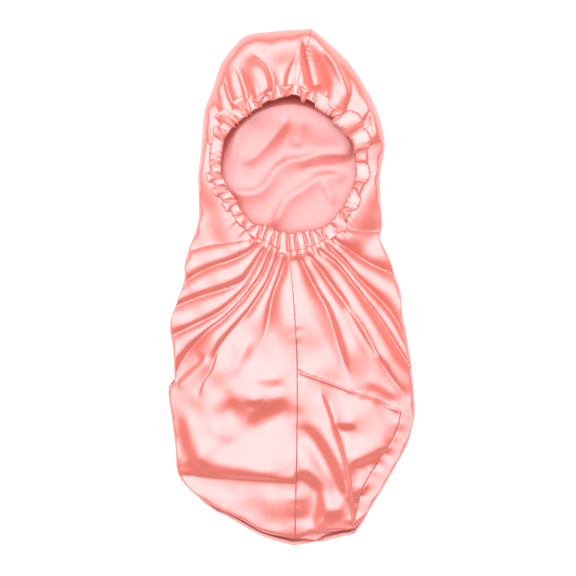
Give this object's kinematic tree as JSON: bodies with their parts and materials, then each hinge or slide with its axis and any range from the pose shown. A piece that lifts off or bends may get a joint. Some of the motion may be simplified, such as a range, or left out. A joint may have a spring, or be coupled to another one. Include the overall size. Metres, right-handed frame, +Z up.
{
  "type": "long sleep bonnet",
  "caption": "Long satin sleep bonnet lying on its back, with a gathered elastic opening, a puffed crown and a long flat bag for long hair.",
  "frame": {"origin": "under the middle of the bonnet, on the surface that it lies on", "axes": "+X across the bonnet, to the right as the opening is seen from above; +Y from the hem to the crown; +Z up from the surface, out of the opening"},
  "size_m": [0.2988, 0.624, 0.0467],
  "materials": {
    "satin": "pink satin, glossy side out",
    "satin_inside": "pink satin of the back panel, seen from inside through the opening",
    "satin_gathered": "pink satin gathered over elastic"
  },
  "bodies": {
    "root": {"left_panel": "satin", "right_panel": "satin", "lower_right_panel": "satin", "side_panel": "satin", "back_panel": "satin_inside", "elastic_casing": "satin_gathered"}
  },
  "joints": []
}
